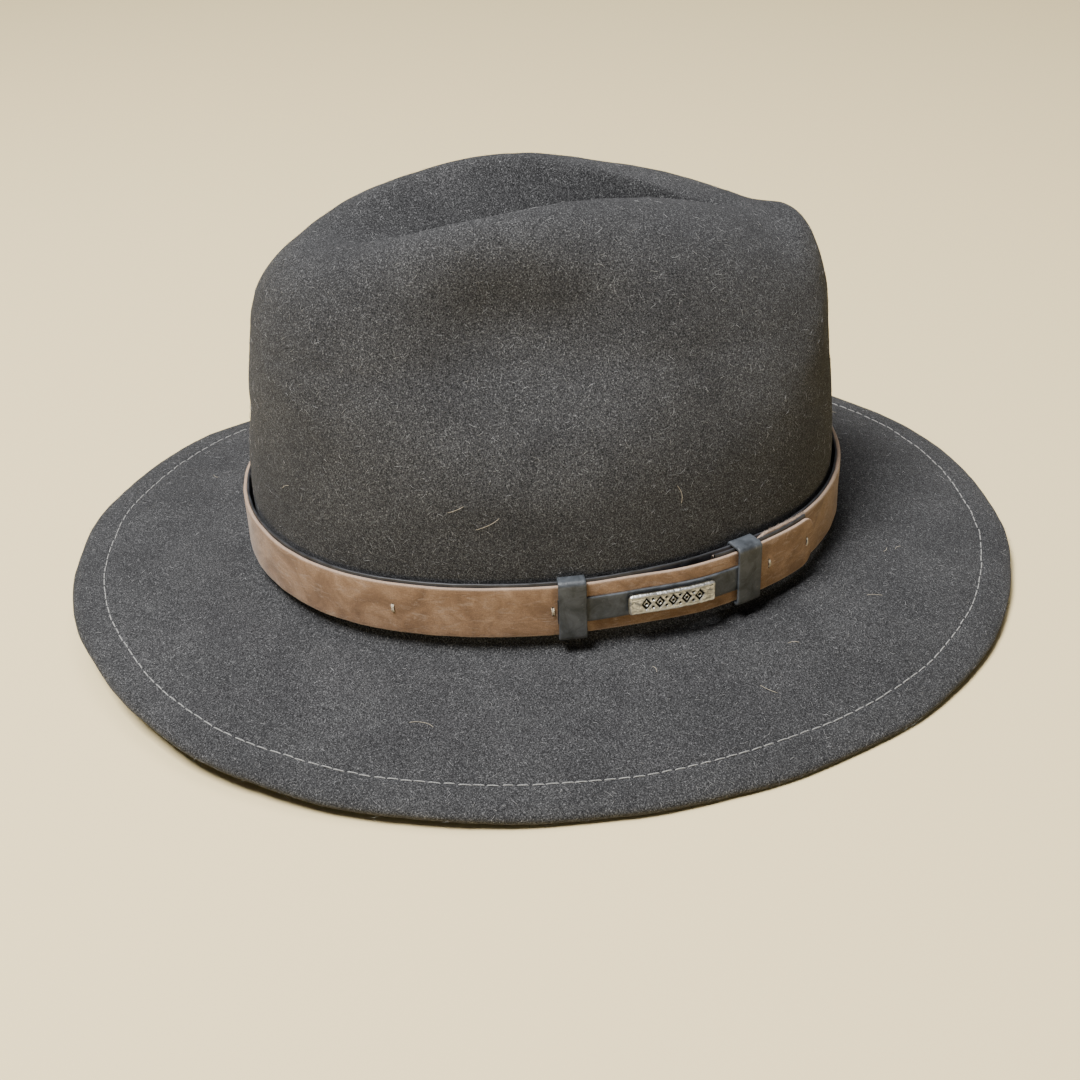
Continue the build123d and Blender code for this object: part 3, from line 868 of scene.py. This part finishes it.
def make_lap_fuzz(material):
    """Loose flesh-side fibres along the top of the strap's covered start."""
    rng = np.random.default_rng(49)
    paths = []
    steps = np.linspace(0, 1, 4)
    for turn in rng.uniform(113.8, 128.5, 420):
        top = BAND_BASE + BAND_HEIGHT + lap_lift(turn)
        offset = BAND_GAP + BACKING + rng.uniform(0.1, BAND_LEATHER - 0.05)
        size = rng.uniform(0.35, 1.0)
        along = rng.normal(0, 0.35) * steps * size
        out = rng.normal(0.1, 0.22) * steps**2 * size
        angle = radians(turn) + along / SIDE_RADIUS
        paths.append(on_oval(angle, offset + out, top - 0.15 + steps * size * 0.75))
    return make_threads("lap_edge_fuzz", paths, 0.045, material, sides=3)


def on_side_arc(offset, turn, along, z):
    """Point on the left side arc: along is measured from a turn in degrees, at the lap's outer face."""
    angle = radians(turn) + along / (SIDE_RADIUS + LAP_OUTER)
    reach = SIDE_RADIUS + offset
    return np.stack([reach * np.sin(angle) - SIDE_CENTRE, -reach * np.cos(angle), z + 0 * angle], -1)


def make_keeper(place, turn, inner, material):
    """A leather loop round the band: a strip with softened edges bent into a rounded rectangle."""
    low = BAND_BASE - RUN_CLEARANCE
    high = low + BAND_HEIGHT + BACKING_SHOW + 2 * RUN_CLEARANCE
    back = BAND_GAP - RUN_CLEARANCE
    outline = rounded_section(back, inner, low, high, KEEPER_BEND, corner=6, middle=12)
    ahead = np.roll(outline, -1, 0) - np.roll(outline, 1, 0)
    ahead /= np.linalg.norm(ahead, axis=1, keepdims=True)
    outward = np.stack([ahead[:, 1], -ahead[:, 0]], -1)
    behind = ease(-outward[:, 0], 0.2, 0.9)
    thickness = KEEPER_LEATHER + (KEEPER_BACK_LEATHER - KEEPER_LEATHER) * behind
    half = KEEPER_WIDTH / 2
    points = []
    for corner, normal, thick in zip(outline, outward, thickness):
        edge = min(KEEPER_EDGE, 0.45 * thick)
        strip = rounded_section(-half, half, 0.0, thick, edge, corner=4, middle=8)
        spread = corner[None] + normal[None] * strip[:, 1:2]
        points.append(on_side_arc(spread[:, 0], turn, strip[:, 0], spread[:, 1]))
    points = np.array(points)
    faces = grid_faces(points.shape[0], points.shape[1], wrap_rows=True, wrap_columns=True)
    return make_object(f"keeper_loop_{place}", points, faces, material)


def make_badge_strap(material):
    """Narrow strap under the keepers, riding up with the lap below it."""
    half = degrees(KEEPER_WIDTH / 2 / SIDE_RADIUS)
    turns = np.linspace(FRONT_KEEPER_TURN - half, REAR_KEEPER_TURN + half, 130)
    low = BAND_MIDDLE - BADGE_STRAP_HEIGHT / 2
    return strap_piece(
        "badge_strap_leather", turns, lambda turn: strap_outer(turn + 360) + 0.02,
        lambda turn: strap_outer(turn + 360) + BADGE_STRAP, low, low + BADGE_STRAP_HEIGHT, material,
        radius=0.38, rough=0.02, seed=47,
    )


def badge_relief(u, v):
    """Height of the badge's face, and how bright it is: dark patina in the engraving and painted shade along
    the rounded outer edge.

    It has a crowned field and a soft rim, with five lozenges and the dots between them engraved.
    """
    half_u, half_v = BADGE_LENGTH / 2, BADGE_HEIGHT / 2
    to_edge = np.minimum(half_u - np.abs(u), half_v - np.abs(v))
    rounding = 1 - (1 - np.clip(to_edge / 0.9, 0, 1)) ** 2
    rim = 0.16 * ease(to_edge, 1.25, 0.8)
    flat = np.stack([u, v, 0 * u], -1)
    hammered = 0.05 * ripple(flat, 2.4, 61) + 0.025 * ripple(flat, 1.0, 62)
    from_centre = (u + LOZENGE_PITCH / 2) % LOZENGE_PITCH - LOZENGE_PITCH / 2
    inside = np.abs(u) < 2.5 * LOZENGE_PITCH
    lozenge = np.abs(from_centre) / LOZENGE_HALF_WIDTH + np.abs(v) / LOZENGE_HALF_HEIGHT
    outline = ease(np.abs(lozenge - 0.80), 0.34, 0.16) * inside
    heart = ease(np.hypot(from_centre, v), 0.70, 0.42) * inside
    between = (u % LOZENGE_PITCH) - LOZENGE_PITCH / 2
    dot = ease(np.hypot(between, np.abs(v) - DOT_HEIGHT), 0.62, 0.36) * (np.abs(u) < 2.4 * LOZENGE_PITCH)
    engraved = np.maximum(np.maximum(outline, heart), dot)
    worn = 0.5 + 0.5 * np.clip(ripple(flat, 3.5, 63), -1, 1)
    height = 0.85 * rounding + rim + hammered - ENGRAVING * engraved
    # Brightness: dark patina in the engraving, random wear, and painted shade over the last half millimetre
    # at the outer edge
    bright = (1 - engraved) * (0.72 + 0.28 * worn) * (0.35 + 0.65 * np.clip(to_edge / 0.5, 0, 1))
    return height, bright


def make_badge(material):
    """Cast bar bent to the band, with rounded corners and a relief on its face."""
    across, tall = 230, 64
    u_share, v_share = np.meshgrid(np.linspace(-1, 1, across), np.linspace(-1, 1, tall), indexing="ij")
    half_u, half_v, corner = BADGE_LENGTH / 2, BADGE_HEIGHT / 2, BADGE_CORNER
    u, v = u_share * half_u, v_share * half_v
    corner_u = np.clip((np.abs(u) - (half_u - corner)) / corner, 0, 1)
    corner_v = np.clip((np.abs(v) - (half_v - corner)) / corner, 0, 1)
    round_u = corner_u * np.sqrt(1 - corner_v**2 / 2)
    round_v = corner_v * np.sqrt(1 - corner_u**2 / 2)
    flat_u = np.sign(u) * (np.minimum(np.abs(u), half_u - corner) + corner * round_u)
    flat_v = np.sign(v) * (np.minimum(np.abs(v), half_v - corner) + corner * round_v)
    relief, bright = badge_relief(u, v)
    turns = BADGE_TURN + np.degrees(flat_u / (SIDE_RADIUS + LAP_OUTER))
    climb = ease(turns, LAP_RISE_START, LAP_RISE_END) * (BAND_LEATHER + LAP_GAP)
    base = BAND_GAP + BACKING + BAND_LEATHER + BADGE_STRAP + climb
    level = base + BADGE_THICKNESS - BADGE_RELIEF + relief
    front = on_side_arc(level, BADGE_TURN, flat_u, BAND_MIDDLE + flat_v)
    rear = on_side_arc(base + 0.02, BADGE_TURN, flat_u * 0.985, BAND_MIDDLE + flat_v * 0.97)
    faces = grid_faces(across, tall)
    border = (
        [(i, 0) for i in range(across)] + [(across - 1, j) for j in range(1, tall)]
        + [(i, tall - 1) for i in range(across - 2, -1, -1)] + [(0, j) for j in range(tall - 2, 0, -1)]
    )
    edge = [i * tall + j for i, j in border]
    points = np.concatenate([front.reshape(-1, 3), [rear[i, j] for i, j in border]])
    start = across * tall
    count = len(border)
    for index in range(count):
        following = (index + 1) % count
        faces.append([edge[following], edge[index], start + index, start + following])
    faces.append([start + index for index in range(count)])
    piece = make_object("badge_bar", points, faces, material)
    # The relief attribute carries the face's brightness, including the painted shade along the outer edge
    shade = np.zeros((start + count, 3))
    shade[:start, 0] = bright.ravel()
    add_attribute(piece, "relief", shade)
    return piece


def make_tacks(material):
    """Little upright stitches of doubled thread that hold the band to the felt."""
    rng = np.random.default_rng(71)
    paths = []
    share = np.linspace(0, 1, 9)
    for turn in TACK_TURNS:
        surface = strap_outer(turn + 360)
        angle = radians(turn)
        for side in (-0.26, 0.05, 0.30):
            along = side + rng.normal(0, 0.05, 9) + rng.normal(0, 0.35) * (share - 0.5)
            tall = TACK_HEIGHT * (0.9 + rng.normal(0, 0.10))
            z = BAND_MIDDLE + (share - 0.5) * tall
            bulge = 0.42 * np.sin(share * pi) ** 0.5 - 0.5 * np.abs(2 * share - 1) ** 8
            paths.append(on_oval(angle + along / (SIDE_RADIUS + surface), surface + bulge, z))
    return make_threads("band_tack_threads", paths, 0.19, material, sides=7)


def make_tack_slots(material):
    """Dark lenses under the tacks, standing for punched slots: the black backing showing through, and painted
    shade of the holes.
    """
    share = np.linspace(-0.5, 0.5, 11)
    paths = []
    for turn in TACK_TURNS:
        depth = strap_outer(turn + 360) - 0.32 - 0.10 * (2 * share) ** 4
        paths.append(on_oval(radians(turn), depth, BAND_MIDDLE + share * (TACK_HEIGHT + 1.1)))
    return make_threads("band_tack_slots", paths, 0.40, material, sides=14)


# ---- inside the crown


def make_sweatband(material):
    """Leather headband, its ends meeting at the back, its free edge a little wavy."""
    gap = degrees(SWEAT_SEAM / END_RADIUS)
    turns = np.linspace(180 + gap, 540 - gap, 480)

    def high(turn):
        return SWEAT_BOTTOM + SWEAT_HEIGHT - 0.25 + 0.2 * sin(radians(7 * turn))

    return strap_piece(
        "sweatband_leather", turns, SWEAT_INNER, SWEAT_OUTER, SWEAT_BOTTOM, high, material,
        radius=0.35, rough=0.08, seed=53,
    )


def make_sweat_stitches(material):
    """Zigzag of the machine stitch along the sweatband's lower edge."""
    paths = []
    for side in (-1.0, 1.0):
        paths += stitch_paths(
            SWEAT_INNER, lambda turn: SWEAT_BOTTOM + 2.4 + 0 * turn, 3.0, 2.3, 0.25, 0.3, 55 + int(side),
            facing_out=-1.0, tilt=1.6 * side,
        )
    return make_threads("sweatband_zigzag", paths, 0.2, material, sides=6)


def make_seam_tape(material):
    """Tape over the sweatband's seam, on the side of the felt."""
    return strap_piece(
        "sweatband_tape", np.linspace(176.5, 183.5, 16), SWEAT_OUTER + 0.05, SWEAT_OUTER + 0.4,
        SWEAT_BOTTOM + 3, SWEAT_BOTTOM + SWEAT_HEIGHT, material, radius=0.12, rough=0.02, seed=57,
    )


def make_tag(material):
    """Blank woven tag on the sweatband's inner face."""
    return strap_piece(
        "size_tag_cloth", np.linspace(202, 213, 24), SWEAT_INNER - 0.38, SWEAT_INNER - 0.05,
        SWEAT_BOTTOM + 6, SWEAT_BOTTOM + 22, material, radius=0.13, rough=0.03, seed=59,
    )


def make_bow(material):
    """Flat ribbon bow: two drooping loops and a tight knot, sewn over the sweatband's seam."""
    _, back_y = oval(pi, SWEAT_INNER - BOW_PROUD)
    centre = np.array([0.0, float(back_y), SWEAT_BOTTOM + 8])
    vertices, faces = [], []
    count, across = 40, 7

    def ribbon(outline, half_width, thickness, squeeze):
        start = sum(len(block) for block in vertices)
        block = []
        for index, (x, z) in enumerate(outline):
            ahead = outline[(index + 1) % len(outline)] - outline[index - 1]
            ahead /= np.linalg.norm(ahead)
            normal = np.array([ahead[1], -ahead[0]])
            width = half_width * squeeze(x)
            section = rounded_section(-width, width, -thickness / 2, thickness / 2, thickness * 0.4, 2, 3)
            flat = np.array([[x, z]]) + normal[None] * section[:, 1:2]
            block.append(np.stack([flat[:, 0], section[:, 0], flat[:, 1]], -1))
        block = np.array(block)
        faces.extend(grid_faces(block.shape[0], block.shape[1], True, True, start))
        vertices.append(block.reshape(-1, 3))

    angle = np.linspace(0, 2 * pi, count, endpoint=False)
    for side in (-1, 1):
        x = side * 4.9 * (1 - np.cos(angle))
        z = 2.4 * np.sin(angle) * np.sin(angle / 2) ** 0.8 - 0.06 * np.abs(x)
        outline = np.stack([x, z], -1)[:: side]
        ribbon(outline, 0.5, 0.28, lambda x: 0.55 + 0.45 * min(abs(x) / 6, 1))
    knot = np.stack([1.25 * np.cos(angle), 1.6 * np.sin(angle)], -1)
    ribbon(knot, 0.62, 0.35, lambda x: 1.0)
    points = np.concatenate(vertices) + centre
    points[:, 1] += 0.15
    return make_object("sweatband_ribbon_bow", points, faces, material)


# ---- loose fibres

FIBRE_COUNT = 15000
FIBRE_LENGTH = 1.9
FIBRE_LIFT = 0.30
FIBRE_RADIUS = 0.034
LINT_COUNT = 22
LINT_RADIUS = 0.06


def scatter(piece, count, seed):
    """Seeded points on a mesh, spread by area, with their normals, in millimetres."""
    mesh = piece.data
    mesh.calc_loop_triangles()
    corners = np.empty(len(mesh.loop_triangles) * 3, np.int32)
    mesh.loop_triangles.foreach_get("vertices", corners)
    corners = corners.reshape(-1, 3)
    places = np.empty(len(mesh.vertices) * 3)
    mesh.vertices.foreach_get("co", places)
    places = places.reshape(-1, 3) / MM
    first, second, third = (places[corners[:, index]] for index in range(3))
    normals = np.cross(second - first, third - first)
    areas = np.linalg.norm(normals, axis=1)
    normals /= np.maximum(areas, 1e-12)[:, None]
    rng = np.random.default_rng(seed)
    chosen = rng.choice(len(areas), count, p=areas / areas.sum())
    a, b = rng.uniform(size=(2, count, 1))
    over = (a + b) > 1
    a, b = np.where(over, 1 - a, a), np.where(over, 1 - b, b)
    points = first[chosen] + a * (second[chosen] - first[chosen]) + b * (third[chosen] - first[chosen])
    return points, normals[chosen], rng


def fibre_allowed(points, normals):
    """Keep the outside of the felt, clear of the band, and leave the inside bare."""
    x, y, z = points.T
    turn = np.arctan2(x, -y)
    inside_x, inside_y = oval(turn, -FELT / 2)
    inner = np.hypot(x, y) < np.hypot(inside_x, inside_y)
    at_band = (z > BREAK_LEVEL - 3) & (z < BAND_BASE + BAND_HEIGHT + 1.6)
    outward = (normals[:, 0] * x + normals[:, 1] * y > 0) | (normals[:, 2] > 0.2)
    crown_outside = (z > BAND_BASE + BAND_HEIGHT) & outward
    brim = (z < BREAK_LEVEL - 3) & ~inner
    return ~at_band & (crown_outside | brim)


def make_fibres(felt, material):
    """Short curved wool fibres standing off the felt's outer face."""
    points, normals, rng = scatter(felt, FIBRE_COUNT, 81)
    allowed = fibre_allowed(points, normals)
    points, normals = points[allowed], normals[allowed]
    paths = []
    steps = np.linspace(0, 1, 4)
    for point, normal in zip(points, normals):
        sideways = np.cross(normal, rng.normal(size=3))
        sideways /= np.linalg.norm(sideways)
        curl = np.cross(normal, sideways) * rng.normal(0, 0.35)
        size = FIBRE_LENGTH * rng.uniform(0.5, 1.4)
        rise = FIBRE_LIFT * rng.uniform(0.2, 1.0)
        paths.append(
            point + np.outer(steps * size, sideways) + np.outer(steps**2 * size, curl)
            + np.outer(0.02 + rise * np.sin(steps * pi * rng.uniform(0.5, 0.95)), normal)
        )
    piece = make_threads("felt_fibres_grey", paths, FIBRE_RADIUS, material, sides=3)
    tone = np.repeat(rng.uniform(size=len(paths)), 3 * len(steps))
    add_attribute(piece, "tone", np.stack([tone, tone, tone], -1))
    return piece


def make_lint(material):
    """A few stray hairs lying on the crown and the brim."""
    rng = np.random.default_rng(91)
    paths = []
    steps = np.linspace(0, 1, 12)
    for index in range(LINT_COUNT):
        turn = rng.uniform(0, 2 * pi)
        size = rng.uniform(2.5, 7.0)
        heading = rng.uniform(0, 2 * pi)
        bend = rng.normal(0, 1.2)
        along = np.cumsum(np.cos(heading + bend * steps)) * size / len(steps)
        up = np.cumsum(np.sin(heading + bend * steps)) * size / len(steps)
        if index % 3:
            offset = rng.uniform(14, STITCH_OFFSET - 3) + up
            turns = turn + along / (END_RADIUS + offset)
            z = brim_top(turns, (offset - BREAK_RADIUS) / BRIM_RUN) + 0.25
            paths.append(warped(on_oval(turns, offset, z), warp_at_offset(offset)))
        else:
            z = rng.uniform(55, 72) + up
            turns = turn + along / END_RADIUS
            x, y = oval(turns, 0.3)
            paths.append(warped(shaped(x, y, z, turns, 1.0), warp_at_height(z)))
    return make_threads("felt_lint", paths, LINT_RADIUS, material, sides=5)


# ---- the hat

felt_finish = felt_material()
grey_thread = thread_material("grey_thread", (0.12, 0.12, 0.115), (0.36, 0.355, 0.34))
cream_thread = thread_material("cream_thread", (0.26, 0.22, 0.16), (0.60, 0.53, 0.41))
brown = nubuck_material()
black = black_leather_material(
    "black_leather", (0.012, 0.012, 0.014), (0.034, 0.035, 0.040), (0.10, 0.10, 0.105)
)
slate = black_leather_material(
    "slate_leather", (0.024, 0.028, 0.033), (0.072, 0.080, 0.092), (0.16, 0.165, 0.17)
)
fuzz = thread_material("flesh_fibres", (0.16, 0.12, 0.09), (0.34, 0.27, 0.22))

# Each piece with the node it replaces and its material slot. A keeper's body has its node's name.
felt = make_felt(felt_finish)
built = [
    (felt, "felt_body", "felt"),
    (brim_stitches("brim_stitches_above", False, grey_thread), "brim_stitching_top", "thread_grey"),
    (brim_stitches("brim_stitches_below", True, grey_thread), "brim_stitching_under", "thread_grey"),
    (make_backing(black), "band_backing", "leather_black"),
    (make_band(brown), "band_leather", "leather_brown"),
    (make_lap_backing(black), "lap_backing", "leather_black"),
    (make_lap_fuzz(fuzz), None, "leather_brown"),
    # Dark lenses under the tacks: painted shade of the slots, in the black backing's colour
    (make_tack_slots(black), None, "leather_black"),
    (make_keeper("front", FRONT_KEEPER_TURN, FRONT_KEEPER_INNER, slate), "keeper_front", "leather_black"),
    (make_keeper("rear", REAR_KEEPER_TURN, REAR_KEEPER_INNER, slate), "keeper_rear", "leather_black"),
    (make_badge_strap(slate), "badge_strap", "leather_black"),
    (make_badge(pewter_material()), "badge", "pewter"),
    (make_tacks(cream_thread), "band_tacks", "thread_cream"),
    (make_sweatband(sweat_leather_material()), "sweatband", "sweat_leather"),
    (make_sweat_stitches(cream_thread), "sweatband_stitching", "thread_cream"),
]
ribbon_cloth = woven_material("black_ribbon", (0.010, 0.010, 0.012), (0.045, 0.045, 0.050), 9000.0)
tag_cloth = woven_material("tag_cloth", (0.46, 0.44, 0.40), (0.70, 0.68, 0.62), 7000.0)
built += [
    (make_seam_tape(ribbon_cloth), "sweatband_seam_tape", "ribbon"),
    (make_bow(ribbon_cloth), "sweatband_bow", "ribbon"),
    (make_tag(tag_cloth), "size_tag", "tag_cloth"),
    (make_lint(cream_thread), None, "felt"),
    (make_fibres(felt, fibre_material()), None, "felt"),
]
for piece, node, finish_slot in built:
    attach(piece, node if node in ("keeper_front", "keeper_rear") else "hat")
    if node:
        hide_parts(node)

reed_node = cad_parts["sweatband_reed"]
for material_slot in reed_node.material_slots:
    material_slot.material = plastic_material()


# ---- floor, light and camera

FLOOR_REACH = 4000
FLOOR_ROWS = 9
SKY_COLOUR = (0.90, 0.88, 0.82, 1.0)
SKY_STRENGTH = 0.09


def add_floor():
    side = np.linspace(-FLOOR_REACH, FLOOR_REACH, FLOOR_ROWS)
    x, y = np.meshgrid(side, side, indexing="ij")
    faces = grid_faces(FLOOR_ROWS, FLOOR_ROWS)
    floor = make_object("floor", np.stack([x, y, 0 * x], -1), faces, floor_material())


def add_light(name, place, target, size, power, colour):
    lamp = bpy.data.lights.new(name, "AREA")
    lamp.shape = "RECTANGLE"
    lamp.size, lamp.size_y = size
    lamp.energy = power
    lamp.color = colour
    holder = bpy.data.objects.new(name, lamp)
    holder.location = place
    holder.rotation_euler = (Vector(target) - Vector(place)).to_track_quat("-Z", "Y").to_euler()
    bpy.context.scene.collection.objects.link(holder)


def add_camera():
    azimuth, elevation = radians(CAMERA_AZIMUTH), radians(CAMERA_ELEVATION)
    roll = radians(CAMERA_ROLL)
    back = Vector((sin(azimuth) * cos(elevation), -cos(azimuth) * cos(elevation), sin(elevation)))
    right = Vector((cos(azimuth), sin(azimuth), 0.0))
    up = back.cross(right)
    rolled_right = right * cos(roll) + up * sin(roll)
    rolled_up = up * cos(roll) - right * sin(roll)
    place = Vector((0, 0, BAND_BASE * MM)) + back * CAMERA_DISTANCE
    lens = bpy.data.cameras.new("camera")
    lens.lens = CAMERA_LENS
    lens.sensor_width = 36.0
    lens.shift_x, lens.shift_y = CAMERA_SHIFT
    lens.clip_start = 0.01
    camera = bpy.data.objects.new("camera", lens)
    turned = Matrix((rolled_right, rolled_up, back)).transposed().to_4x4()
    turned.translation = place
    camera.matrix_world = turned
    bpy.context.scene.collection.objects.link(camera)
    bpy.context.scene.camera = camera


def add_world():
    world = bpy.data.worlds.new("studio")
    world.use_nodes = True
    background = world.node_tree.nodes["Background"].inputs
    background["Color"].default_value = SKY_COLOUR
    background["Strength"].default_value = SKY_STRENGTH
    bpy.context.scene.world = world


add_floor()
add_light("key", (0.40, -0.62, 1.70), (0, 0, 0.08), (0.6, 0.6), 80.0, (1.0, 0.997, 0.992))
add_light("fill", (1.3, 0.9, 0.6), (0, 0, 0.06), (1.0, 0.8), 0.8, (0.96, 0.98, 1.0))
add_light("top", (-0.2, 0.0, 1.8), (0, 0, 0.05), (1.0, 1.0), 18.0, (1.0, 0.995, 0.985))
add_world()
add_camera()
